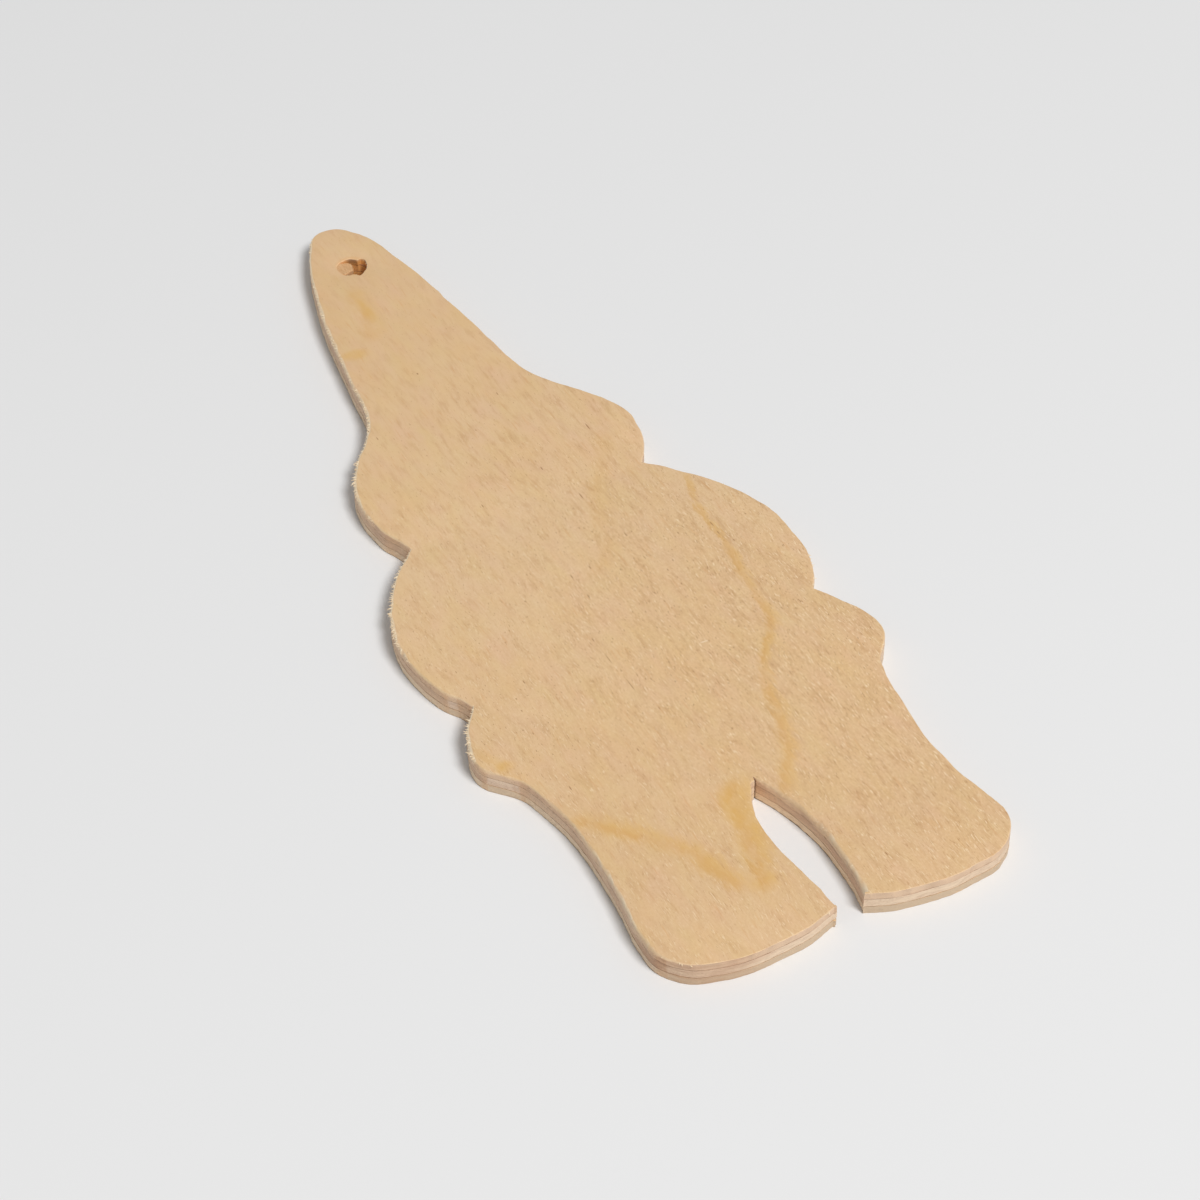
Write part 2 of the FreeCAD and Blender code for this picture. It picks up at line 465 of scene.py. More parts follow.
class Finish:
    """One material, built a node at a time, measured in millimetres from the board's own zero."""

    def __init__(self, name):
        self.material = bpy.data.materials.new(name)
        self.material.use_nodes = True
        self.tree = self.material.node_tree
        self.tree.nodes.clear()

    def node(self, kind, settings=None, values=None, out=0):
        made = self.tree.nodes.new("ShaderNode" + kind)
        for key, value in (settings or {}).items():
            if key == "curve":
                points = made.mapping.curves[0].points
                points[0].location, points[-1].location = value[0], value[-1]
                for spot in value[1:-1]:
                    points.new(*spot)
                made.mapping.update()
            else:
                setattr(made, key, value)
        for key, value in (values or {}).items():
            if isinstance(value, Tone):
                self.tree.links.new(value.socket, made.inputs[key])
            else:
                made.inputs[key].default_value = value
        return Tone(self, made.outputs[out]) if made.outputs else None

    def place(self):
        return self.node("TexCoord", out="Object")

    def vector(self, operation, first, second=(0.0, 0.0, 0.0), out=0):
        return self.node("VectorMath", {"operation": operation}, {0: first, 1: second}, out)

    def split(self, vector):
        made = self.node("SeparateXYZ", {}, {0: vector})
        return [Tone(self, socket) for socket in made.socket.node.outputs]

    def millimetres(self):
        """x, y and z on the board."""
        return [part / MM for part in self.split(self.place())]

    def away(self, spot, factors):
        """How far off a spot is, in metres times the factors of x, y and z."""
        gap = self.vector("SUBTRACT", self.place(), spot)
        return self.vector("LENGTH", self.vector("MULTIPLY", gap, factors), out="Value")

    def noise(self, pitch, detail=2.0, roughness=0.5, distortion=0.0, shift=0.0, place=None, out=0):
        """Even noise whose blotches are about pitch millimetres across, as x, y and z."""
        spot = self.node(
            "VectorMath", {"operation": "MULTIPLY_ADD"}, {
                0: place or self.place(), 1: tuple(1 / (p * MM) for p in pitch),
                2: (shift, shift * 0.7, shift * 1.3),
            },
        )
        return self.node("TexNoise", {}, {
            "Vector": spot, "Scale": 1.0, "Detail": detail, "Roughness": roughness, "Distortion": distortion,
        }, out)

    def grain(self, width, length, detail=2.0, roughness=0.5, shift=0.0):
        """Noise drawn out along the board, whose lines sway a little from side to side."""
        sway = (self.noise((7.0, 9.0, 7.0), detail=1.0, shift=70.0) - 0.5) * (1.2 * MM)
        lean = self.node("CombineXYZ", {}, {"X": sway, "Y": 0.0, "Z": 0.0})
        bent = self.vector("ADD", self.place(), lean)
        return self.noise((width, length, width), detail, roughness, 0.0, shift, bent)

    def mix(self, share, first, second, blend="MIX"):
        def rgba(value):
            return value if isinstance(value, Tone) else (*value[:3], 1.0)

        return self.node(
            "Mix", {"data_type": "RGBA", "blend_type": blend},
            {0: share, 6: rgba(first), 7: rgba(second)}, out=2,
        )

    def coats(self, base, *coats):
        """The base with each coat laid over it: a coat is the share that it covers and its colour."""
        for share, colour in coats:
            base = self.mix(share, base, colour)
        return base

    def bump(self, height, depth, strength):
        """A relief whose depth is in millimetres."""
        return self.node(
            "Bump", {}, {"Height": height, "Distance": depth * MM, "Strength": strength}
        )

    def surface(self, base, roughness, normal=None):
        values = {"Base Color": base, "Roughness": roughness}
        if normal:
            values["Normal"] = normal
        shader = self.node("BsdfPrincipled", {}, values)
        self.node("OutputMaterial", {}, {"Surface": shader})
        return self.material


# Growth rings on the face: x in mm from the board's middle for each height in mm above the soles.
LONG_RING = (
    (71.5, 18.75), (67.5, 17.5), (63.5, 17.0), (60.5, 17.0), (56, 16.5), (49, 15.5), (43, 14.5), (40.4, 12.3),
    (37.1, 10.05), (32.5, 8.45), (30.3, 8.1), (27.5, 7.1), (24.4, 5.9), (21.6, 4.1), (18.5, 2.3),
)
LEFT_RING = (
    (25.5, -19.3), (21.6, -16.1), (18.9, -13.6), (16.6, -12.0), (14.8, -10.7), (12, -10.0), (8, -8.4),
)
RIGHT_RING = ((23, -1.6), (20, -2.9), (17, -3.7), (14, -4.6), (10, -5.6), (7, -6.6))
HIP_RING = ((40, -24.8), (36, -23.4), (33, -22.0))
HAT_RING = ((126, -1.5), (124, -1.8), (121, -1.8), (117.4, -2.4), (114.2, -3.8))
FAINT_RING = ((84, 13.4), (78, 10.8), (73.5, 7.6), (70, 6.0), (64, 4.5), (60, 0.8))
# Each ring, its widths in mm at its top and at its foot, and how strongly it shows.
RINGS = (
    (LONG_RING, 0.7, 1.9, 0.72), (LEFT_RING, 3.2, 2.4, 0.85), (RIGHT_RING, 3.2, 2.4, 0.9),
    (HIP_RING, 1.6, 1.5, 0.32), (HAT_RING, 2.8, 3.0, 0.4), (FAINT_RING, 2.2, 2.6, 0.25),
)
# Marks on the face: x, height above the soles, width across and length along the grain, in mm.
# First honey patches beside the rings, then dark specks, then one pale scratch across the grain.
HONEY = ((-7.2, 112.4, 5.4, 2.6), (-1.9, 120.5, 1.8, 7.0), (-22.8, 36.0, 2.6, 2.2), (-3.4, 17.5, 5.0, 11.0))
SPECKS = (
    (-1.65, 105.1, 0.24, 0.45), (-11.6, 95.25, 0.15, 0.8), (3.75, 80.7, 0.18, 0.9), (5.6, 73.8, 0.18, 1.5),
    (-5.75, 77.5, 0.15, 0.8), (5.5, 96.75, 0.15, 0.8), (-2.15, 61.0, 0.15, 0.9), (-2.0, 57.0, 0.15, 0.9),
    (-15.1, 47.25, 0.15, 0.8), (-18.1, 29.85, 0.18, 0.9), (7.0, 5.9, 0.15, 0.7), (-8.85, 31.75, 0.15, 0.7),
    (-5.0, 50.0, 0.15, 0.8), (7.0, 65.0, 0.15, 1.1), (-4.7, 41.4, 0.13, 2.6), (-4.9, 46.4, 0.1, 2.2),
    (12.5, 85.6, 0.2, 1.6), (0.5, 61.5, 0.15, 0.8), (17.0, 62.0, 0.16, 1.2), (16.9, 60.2, 0.14, 1.0),
)
SCRATCHES = ((6.1, 44.0, 1.3, 0.22),)


def growth_ring(finish, x, y, line, top_width, foot_width, strength):
    """The mark of one growth ring: its soft glow, and the darker line on its left side."""
    heights = [SOLE / MM + up for up, _ in line]
    low, high = min(heights), max(heights)
    # The curve node runs from 0 to 1, which stand for this far to the left and to the right.
    reach = 30.0
    rise = high - low
    curve = sorted(((h - low) / rise, (at + reach) / (2 * reach)) for h, (_, at) in zip(heights, line))
    share = (y - low) / rise
    middle = finish.node("FloatCurve", {"curve": curve}, {"Value": share}) * (2 * reach) - reach
    offset = (x - middle) / (share * ((top_width - foot_width) / 2) + foot_width / 2)
    shown = y.between(low - 1.0, low + 1.5, high - 1.5, high + 1.0) * strength
    return abs(offset).fall(0.1, 1.9) * shown, abs(offset + 0.3).fall(0.0, 0.8) * shown


def marks(finish, spots):
    """Small marks on the face, from 0 to 1, fuzzy at their rims."""
    found = []
    for across, up, width, length in spots:
        spot = (*board_spot(across, up), CAD_BOX[1][2])
        found.append(finish.away(spot, (2 / (width * MM), 2 / (length * MM), 2 / MM)).fall(0.35, 1.15))
    return reduce(Tone.most, found)


class EdgeMasks:
    """Parts of a layer's surface, each from 0 to 1, told apart by the way they face."""

    def __init__(self, finish):
        normal = finish.node("NewGeometry", out="Normal")
        _, tilt, up = finish.split(normal)
        level = finish.vector("NORMALIZE", finish.vector("MULTIPLY", normal, (1, 1, 0)))
        across, along, _ = finish.split(level)
        # The whole sawn edge, and those of its walls that face up or down the board, across the face's grain.
        self.sawn = abs(up).fall(0.15, 0.5)
        self.ends = abs(tilt).rise(0.25, 0.9)
        # Walls on the left: those that face up the board, where the saw lifts the grain, those that turn in
        # below it, and the steepest of these.
        self.lifted = along.rise(-0.15, 0.35) * across.fall(-0.75, -0.3)
        self.turned = along.between(-0.8, -0.55, -0.45, -0.2) * across.fall(-0.5, 0.0)
        self.tucked = along.between(-0.92, -0.8, -0.62, -0.5) * across.fall(-0.5, -0.3)
        # The worn top corner, painted pale: torn fibre, and a painted highlight along the corner, strongest
        # on the lifted walls.
        self.worn = up.fall(0.6, 0.97) * 0.2 + self.lifted * up.fall(0.88, 0.99) * 0.7


def in_slot(finish):
    """1 on the slot's right wall, 0 elsewhere."""
    x, y, _ = finish.millimetres()
    return x.between(-0.6, 0.2, 6.0, 9.0) * (y - SOLE / MM).between(3.0, 8.0, 22.0, 23.0)


def near(finish, spot, close, far):
    """1 beside an upright line through the spot, falling to 0 between close and far millimetres from it."""
    return finish.away((*spot, 0.0), (1 / MM, 1 / MM, 0.0)).fall(close, far)


def edge_colour(finish, masks, colours, side, end, pitch, strength, stain):
    """Colour of a veneer's sawn edge, with its lines of fibre, painted light on the slot's wall and high on
    the lifted walls, painted shade at the slot's tip and high in the hole, and scorched inside the hole.
    """
    _, _, height = finish.millimetres()
    lines = finish.noise(pitch, detail=3.0, roughness=0.65, shift=4.0).rise(0.5, 0.68)
    patches = finish.noise((4.5, 4.5, 0.6), shift=12.0).rise(0.38, 0.62) * (1.0 - masks.ends * 0.6)
    # The slot's right wall: painted light all over, most near its top, against the shade that the slot throws
    # on it; low down it is also paler wood.
    slot_lit_and_pale = 0.1 + height.rise(1.6, 2.6) * 0.4 + height.fall(0.85, 1.05) * 0.45
    foot_corner = near(finish, board_spot(*FOOT_CORNER), 3.0, 9.0)
    tone = finish.coats(
        finish.mix(masks.ends, side, end),
        (masks.turned * (1.0 - masks.tucked) * 0.35, STAIN.edge_slant),
        (in_slot(finish) * slot_lit_and_pale, STAIN.slot_light_and_pale),
        (patches * stain, STAIN.edge_patch),
        (lines * strength * (1.0 - masks.ends * 0.6), colours.edge_line),
        # Pale band high on the lifted walls: lifted grain, and painted light on these walls that face away
        # from the lamp.
        (masks.lifted * (height + lines * 0.5).rise(1.7, 2.9) * 0.75, colours.torn),
        (foot_corner * (0.2 + patches * 0.5), STAIN.foot_corner),
        # Painted shade in the narrow notch at the slot's tip.
        (near(finish, board_spot(*TIP_SPOT), 0.08, 0.2) * 0.5, STAIN.tip_shade),
    )
    # Painted shade high up the hole's upper right wall, under its rim; the rest of the hole's wall is
    # scorched by the drill.
    hole_shade = near(finish, by_hole(0.8, 1.9), 0.3, 1.1) * height.rise(1.8, 2.6)
    scorched = finish.mix(hole_shade * 0.7, colours.scorch, STAIN.char)
    burnt = near(finish, by_hole(0.9, 0.0), 2.4, 3.2) * (0.9 + lines * 0.1)
    return finish.mix(burnt * (1.0 - height.rise(2.5, 2.95) * 0.4), tone, scorched)


def face_wood(colours):
    """The face: pale wood with grain along the board, growth rings, flecks and pores."""
    finish = Finish("face_wood")
    masks = EdgeMasks(finish)
    x, y, _ = finish.millimetres()
    broad = finish.noise((4.0, 9.0, 4.0), detail=3.0, roughness=0.55)
    cloud = finish.noise((2.6, 6.0, 2.6), shift=9.0)
    hues = finish.noise((2.2, 4.5, 2.2), shift=23.0, out="Color")
    speckle = finish.noise((0.2, 0.28, 0.2), shift=151.0)
    fibre = finish.grain(0.17, 0.5, detail=3.0, roughness=0.62, shift=2.0)
    streak = finish.grain(0.6, 3.2, detail=3.0, roughness=0.6, shift=17.0)
    thread = finish.grain(0.14, 1.0, shift=52.0)
    pale = finish.grain(0.14, 0.9, shift=31.0)
    rust = finish.grain(0.3, 3.6, shift=97.0)
    tick = finish.grain(0.14, 0.6, detail=1.0, shift=143.0)
    # The grain is strongest at the feet and to the right, and comes in tufts.
    tufts = 0.45 + finish.noise((1.3, 3.2, 1.3), shift=61.0).rise(0.4, 0.62) * 0.6
    fine = (1.1 - y.rise(-24.0, 40.0) * 0.95) * (0.65 + x.rise(-14.0, 16.0) * 0.43)
    coarse = (1.0 - y.rise(24.0, 48.0) * 0.5) * (0.8 + x.rise(-14.0, 16.0) * 0.35)
    foot_shade = y.fall(-44.0, -26.0) * (0.08 - x.rise(-6.0, 10.0) * 0.05)

    base = finish.mix(broad.rise(0.3, 0.72), colours.face_light, colours.face_dark)
    base = finish.mix(cloud.rise(0.4, 0.7) * 0.6, base, colours.face_pink)
    base = finish.coats(
        finish.mix(0.1, base, hues, "SOFT_LIGHT"),
        # Painted shade: the face darker towards the hat, and at the feet, more on the left.
        (y.rise(22.0, 38.0) * 0.12 + foot_shade, colours.grain_dark),
        (y.between(-22.0, -9.0, 3.0, 12.0) * 0.11, colours.fleck),
        (speckle.rise(0.35, 0.65) * fine * 0.18, colours.grain_dark),
        (fibre.rise(0.34, 0.72) * fine * tufts * 0.26, colours.grain_dark),
        (streak.rise(0.42, 0.72) * coarse * tufts * 0.47, colours.grain_dark),
        (thread.rise(0.58, 0.71) * tufts * fine * 0.5, colours.grain_line),
        (pale.rise(0.58, 0.7) * tufts * fine * 0.75, colours.fleck),
        (rust.rise(0.6, 0.76) * 0.3, colours.rust),
        (tick.rise(0.69, 0.77) * (0.3 + y.rise(-52.0, -28.0) * 0.4) * (0.3 + fine * 0.7), colours.pore),
    )

    jog = (streak - 0.5) * 2.4 + (fibre - 0.5) * 0.9
    broken = finish.noise((2.0, 3.0, 2.0), shift=81.0).rise(0.32, 0.62) * 0.5 + 0.5
    for ring in RINGS:
        glow, core = growth_ring(finish, x + jog, y, *ring)
        base = finish.coats(
            base, (glow * broken * 0.58, colours.ring), (core * broken * 0.28, colours.ring_dark)
        )
    base = finish.coats(
        base,
        (marks(finish, HONEY) * broken * 0.4, colours.ring),
        (marks(finish, SPECKS) * (0.45 + pale * 0.5), colours.pore),
        (marks(finish, SCRATCHES) * 0.6, colours.torn),
        (near(finish, by_hole(0.1, 0.3), 1.8, 2.4) * (0.15 + fibre * 0.25), colours.scorch),
        # Pale top corner: torn fibre and painted highlight.
        (masks.worn, colours.torn),
    )
    side = edge_colour(
        finish, masks, colours, colours.face_side, colours.face_end,
        pitch=(0.12, 2.5, 0.07), strength=0.6, stain=0.45,
    )
    relief = finish.bump(fibre * 0.5 + thread * -0.4 + pale * 0.4, 0.03, 0.5)
    return finish.surface(finish.mix(masks.sawn, base, side), 0.62 + fibre * 0.12, relief)


def core_wood(colours):
    """The core: its grain runs across the board, so the long edges show its end grain."""
    finish = Finish("core_wood")
    masks = EdgeMasks(finish)
    _, y, z = finish.millimetres()
    end = finish.coats(
        colours.core_end,
        (masks.tucked * y.rise(SOLE / MM + 20.0, SOLE / MM + 30.0) * 0.7, STAIN.core_tuck),
        (masks.turned * z.fall(1.15, 1.7) * 0.45, STAIN.core_slant),
    )
    pitch = (2.2, 0.14, 0.09)
    side = edge_colour(finish, masks, colours, end, colours.core_side, pitch, strength=0.5, stain=0.45)
    fibre = finish.noise(pitch, detail=3.0, roughness=0.6)
    side = finish.mix(fibre.rise(0.45, 0.75) * 0.3, side, colours.edge_line)
    return finish.surface(side, 0.7 + fibre * 0.1, finish.bump(fibre, 0.04, 0.6))


def back_wood(colours):
    """The back veneer: grain along the board, plainer than the face, with a chipped bottom corner and painted
    contact shadow along it.
    """
    finish = Finish("back_wood")
    masks = EdgeMasks(finish)
    _, _, height = finish.millimetres()
    broad = finish.noise((6.0, 14.0, 6.0), detail=3.0, shift=40.0)
    fibre = finish.noise((0.14, 2.6, 0.1), detail=3.0, roughness=0.6, distortion=0.15, shift=50.0)
    streak = finish.noise((0.22, 2.2, 0.2), shift=60.0)
    base = finish.coats(
        finish.mix(broad.rise(0.3, 0.7), colours.face_light, colours.face_dark),
        (fibre.rise(0.35, 0.75) * 0.45, colours.face_dark),
        (streak.rise(0.58, 0.78) * 0.4, STAIN.back_streak),
    )
    side = edge_colour(
        finish, masks, colours, colours.back_side, colours.back_end,
        pitch=(0.12, 2.2, 0.09), strength=0.5, stain=0.1,
    )
    torn = finish.noise((0.5, 0.7, 0.2), detail=3.0, roughness=0.6, shift=90.0)
    # Painted contact shadow: a dark ragged band along the foot of the sawn edge, stronger in the slot and
    # faint on the walls that face up or down the board.
    under = (height + torn * 0.4 - 0.2).fall(0.08, 0.17) * (1.0 - masks.ends * 0.85)
    side = finish.mix(under * (0.5 + in_slot(finish) * 0.4), side, STAIN.contact_shadow)
    return finish.surface(
        finish.mix(masks.sawn, base, side), 0.66 + fibre * 0.12, finish.bump(fibre, 0.03, 0.5)
    )


def glue_finish(name, colours, colour):
    """A hair-thin line of set glue, darker beside the grain and broken up where the wood drank it."""
    finish = Finish(name)
    soak = finish.noise((0.8, 0.8, 0.3), detail=3.0)
    fine = finish.noise((0.15, 0.9, 0.1), shift=7.0)
    tone = finish.coats(
        colour,
        (soak.rise(0.35, 0.65) * (0.85 - EdgeMasks(finish).ends * 0.3), colours.glue_dark),
        (fine.rise(0.5, 0.75) * 0.5, STAIN.glue_fibre),
        (near(finish, board_spot(*FOOT_CORNER), 4.0, 12.0) * 0.5, STAIN.glue_corner),
        (near(finish, by_hole(0.0, 0.0), 2.4, 3.0) * 0.7, STAIN.glue_hole),
    )
    return finish.surface(tone, 0.55 + soak * 0.2, finish.bump(fine, 0.03, 0.5))


def torn_wood(name, colour, dark):
    """Raw torn fibre: rougher than the sanded face."""
    finish = Finish(name)
    fibre = finish.noise((0.1, 0.9, 0.1), detail=3.0, roughness=0.6, shift=3.0)
    tone = finish.mix(fibre.rise(0.35, 0.7), colour, dark)
    return finish.surface(tone, 0.8 + fibre * 0.1, finish.bump(fibre, 0.05, 0.8))


# Edges

# How far the rim of the hanging hole is torn back, in mm, by the angle round it in degrees.
HOLE_TEARS = (
    (-174, -0.09), (-151, 0.06), (-135, -0.02), (-122, -0.15), (-110, -0.4), (-98, -0.3), (-86, 0.22),
    (-70, 0.05), (-54, -0.14), (-28, -0.08), (3, 0.1), (23, 0.33), (37, 0.25), (43, -0.2), (62, -0.08),
    (79, 0.06), (102, -0.06), (125, 0.0), (151, 0.06),
)
# Where the cut strays from its line: x, height above the soles, how far out, and how far it reaches, in mm.
STRAYS = (
    (-1.6, 18.0, -0.47, 5.8), (-2.2, 7.4, 0.28, 6.0), (-5.2, 1.0, 0.36, 4.4),
    (-15.0, 0.4, 0.1, 3.0), (-20.0, 2.3, -0.3, 5.0), (-21.5, 6.5, -0.1, 3.0), (-20.3, 15.6, 0.27, 6.5),
    (-23.5, 34.2, -0.52, 6.2), (-23.7, 43.4, 0.3, 2.8), (-22.9, 48.1, -0.26, 2.0), (-25.0, 53.9, -0.05, 5.0),
    (-20.5, 70.0, 0.13, 4.5), (-17.7, 76.3, -0.42, 3.2), (-18.6, 82.6, 0.22, 3.4), (-15.4, 92.4, 0.12, 3.5),
    (-9.8, 105.6, 0.24, 5.0), (-7.4, 122.0, 0.12, 9.0), (-5.0, 131.0, 0.15, 6.0), (5.2, 134.9, 0.4, 6.5),
    (9.5, 109.5, 0.22, 10.0), (12.9, 95.6, 0.15, 4.5), (18.4, 82.9, -0.2, 4.0), (17.0, 74.4, 0.12, 2.0),
    (21.0, 69.2, 0.13, 8.0), (25.2, 56.2, -0.18, 4.0), (24.5, 41.8, -0.12, 4.0), (24.0, 34.5, 0.15, 3.5),
    (20.7, 26.4, 0.57, 8.5), (20.3, 15.9, 0.2, 4.0), (21.4, 6.3, 0.35, 4.8), (16.6, 0.8, 0.2, 3.0),
    (5.0, 1.2, 0.34, 4.4), (2.2, 4.3, -0.28, 6.0), (2.7, 15.4, 0.3, 6.3),
)
# The slot's tip and the stained corner of the left foot: x and height above the soles, in mm.
TIP_SPOT = (0.25, 22.0)
FOOT_CORNER = (-17.0, 2.0)
# The tip is blunt: distance down the left wall from it, and how far out the wood stands there, in mm.
TIP = ((0.0, 0.0), (0.15, 0.07), (0.7, -0.33), (1.6, -0.12), (3.4, 0.0))
# Where the saw ran past its line or left a splinter: x, height above the soles, and how far out, in mm.
SAW_SLIPS = ((*TIP_SPOT, -0.4), (-1.7, 1.8, 0.2))
# The torn plug left in the hole: its outline from the hole's middle, and its depth below the face, in mm.
PLUG = (
    (0.3, 1.66, 0.46), (-0.4, 1.8, 0.34), (-1.25, 1.85, 0.1), (-2.1, 1.2, 0.02), (-2.25, 0.1, 0.01),
    (-2.1, -0.8, 0.02), (-1.6, -1.1, 0.06), (-1.14, -0.8, 0.14), (-0.37, -0.36, 0.26), (0.17, 0.05, 0.36),
    (0.32, 0.7, 0.44), (0.4, 1.3, 0.47),
)
# Frayed stretches of the edge: side, from and to in mm above the soles, shards per mm, and longest in mm.
FRAYED = (
    (-1, 63.0, 68.3, 4.0, 0.5), (-1, 68.3, 73.0, 4.0, 0.42), (-1, 59.0, 63.0, 3.0, 0.35),
    (-1, 41.2, 44.8, 2.2, 0.5), (-1, 39.3, 39.9, 3.0, 0.5), (-1, 88.0, 93.0, 2.5, 0.45),
    (1, 46.0, 52.5, 1.5, 0.25), (-1, 1.4, 2.6, 3.0, 0.3), (1, 33.5, 35.5, 2.0, 0.3),
)


def board_rims():
    """The sawn line round the board and the rim of the hanging hole."""
    sizes = bpy.context.scene.figure_edge
    outer, hole = rim_chains("face_veneer")
    board = Rim(outer, sizes.step)
    stray = np.zeros(len(board.points))
    for across, up, out, reach in STRAYS:
        middle = board.nearest(board_spot(across, up))
        away = (board.along - board.along[middle] + board.length / 2) % board.length - board.length / 2
        stray += out * MM * np.cos(np.pi / 2 * np.clip(away / (reach * MM), -1, 1)) ** 2
    tip = board.nearest(board_spot(*TIP_SPOT))
    down, out = zip(*TIP)
    stray += np.interp((board.along[tip] - board.along) % board.length / MM, down, out) * MM
    board.points = board.points + board.outward * stray[:, None]
    return [board, Rim(hole, sizes.hole_step, hole=True)]


def by_hole(across, up):
    """A spot in metres, from how far in millimetres it is from the middle of the hanging hole."""
    return board_rims()[1].middle() + np.array((across, up)) * MM


def torn_back(rim):
    """How far the hanging hole's rim is torn into the wood at each point."""
    if not rim.hole:
        return np.zeros(len(rim.points))
    angles, depths = zip(*HOLE_TEARS)
    return np.interp(rim.angles(), angles, depths, period=360) * MM


def saw_slips(rim):
    """Single points where the cut runs past its line or stops short of it."""
    slips = np.zeros(len(rim.points))
    if not rim.hole:
        for across, up, out in SAW_SLIPS:
            slips[rim.nearest(board_spot(across, up))] = out * MM
    return slips


def slot_wear(rim):
    """1 all round the rim, and more on the slot's right wall, where the sander reached in."""
    x, y = rim.points.T / MM
    return 1 + 0.5 * ((x > 0.3) & (x < 9) & (y < SOLE / MM + 21.3) & (rim.outward[:, 0] < -0.3))


def sawn(rim, z, node):
    """How far the cut stands out of its line at height z: long strays, saw marks and torn fibre."""
    sizes = bpy.context.scene.figure_edge
    stray = rim.wander(9, seed("stray")) + rim.wander(1.6, seed("layer") + LAYERS.index(node))
    cuts = rim.wander(0.45, seed("cuts"), shift=0.15 * z)
    short_fibre = rim.patches(z, 0.35, 0.1, seed("short_fibre")) * 0.7
    fibre = rim.patches(z, 1.1, 0.16, seed("long_fibre")) + short_fibre
    return stray * sizes.wander_depth * 0.5 + cuts * sizes.saw_depth + fibre * sizes.rough_depth


def plain_rows(node, recess, steps):
    """Rows of a layer with square corners that stands back by the recess, in mm."""
    low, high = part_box(node)

    def rows(rim):
        for z in np.linspace(high.z, low.z, steps):
            yield z, sawn(rim, z, node) - recess * MM - torn_back(rim) * 0.4 + saw_slips(rim).clip(max=0)

    return rows


def rounding(steps):
    """A round corner, from the flat face to the sawn edge, as shares of its height and of its width."""
    turns = [math.radians(turn) for turn in np.linspace(0, 90, steps)]
    return [(1 - math.cos(turn), 1 - math.sin(turn)) for turn in turns]


def face_rows(rim):
    """Rows of the face veneer, whose top corner is worn round."""
    sizes, node = bpy.context.scene.figure_edge, "face_veneer"
    low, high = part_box(node)
    # The corner is worn most on the long sides, and wider on the left walls that face up the board.
    across, along = rim.outward.T
    wear = 1 + 0.35 * rim.wander(1.7, seed("wear"))
    wear = wear * (0.35 if rim.hole else 0.15 + 0.85 * across**2) * slot_wear(rim)
    facing = np.clip((-0.35 - across) * 2.5, 0, 1) * np.clip((along + 0.15) * 2.5, 0, 1)
    width, drop = sizes.arris * wear * (1 + 0.5 * facing), sizes.arris_drop * wear
    shift = saw_slips(rim) - torn_back(rim)
    for down, back in rounding(8):
        z = high.z - drop * down
        yield z, sawn(rim, z, node) + shift - width * back
    # The rows below are level, but nowhere above the foot of the worn corner.
    for z in np.linspace(high.z - sizes.arris_drop * 1.6, low.z, 3):
        yield np.minimum(z, high.z - drop * 1.02), sawn(rim, z, node) + shift


def back_rows(rim):
    """Rows of the back veneer, whose bottom corner is chipped."""
    sizes, node = bpy.context.scene.figure_edge, "back_veneer"
    low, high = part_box(node)
    chips = rim.wander(0.5, seed("small_chips")) * 0.6 + rim.wander(5, seed("chips")) * 0.45
    chip = sizes.chip_depth * np.clip(chips + 0.35, 0.15, 1.0)
    shift = saw_slips(rim) - torn_back(rim) * 0.4
    for z in np.linspace(high.z, low.z + sizes.chip_depth * 1.1, 8):
        yield z, sawn(rim, z, node) + shift
    for up, back in reversed(rounding(5)):
        z = low.z + chip * up
        yield z, sawn(rim, z, node) + shift - chip * back


class FIGURE_OT_face_ply(bpy.types.Operator):
    """Build the face veneer with its worn top corner"""

    bl_idname = "figure.face_ply"
    bl_label = "Face ply"

    def execute(self, context):
        wood = face_wood(context.scene.figure_colours)
        ply_piece("face_ply", "face_veneer", face_rows, wood)
        return {"FINISHED"}


class FIGURE_OT_core_ply(bpy.types.Operator):
    """Build the core veneer, whose grain runs across the board"""

    bl_idname = "figure.core_ply"
    bl_label = "Core ply"

    def execute(self, context):
        wood = core_wood(context.scene.figure_colours)
        ply_piece("core_ply", "core_veneer", plain_rows("core_veneer", 0.01, 10), wood)
        return {"FINISHED"}


class FIGURE_OT_back_ply(bpy.types.Operator):
    """Build the back veneer with its chipped bottom corner"""

    bl_idname = "figure.back_ply"
    bl_label = "Back ply"

    def execute(self, context):
        wood = back_wood(context.scene.figure_colours)
        ply_piece("back_ply", "back_veneer", back_rows, wood)
        return {"FINISHED"}


class FIGURE_OT_glue_lines(bpy.types.Operator):
    """Build the two glue lines between the veneers"""

    bl_idname = "figure.glue_lines"
    bl_label = "Glue lines"

    def execute(self, context):
        colours = context.scene.figure_colours
        for side, colour in (("upper", colours.upper_glue), ("lower", colours.lower_glue)):
            name, node = f"{side}_glue_line", f"{side}_glue_film"
            ply_piece(name, node, plain_rows(node, 0.02, 3), glue_finish(name, colours, colour))
        return {"FINISHED"}


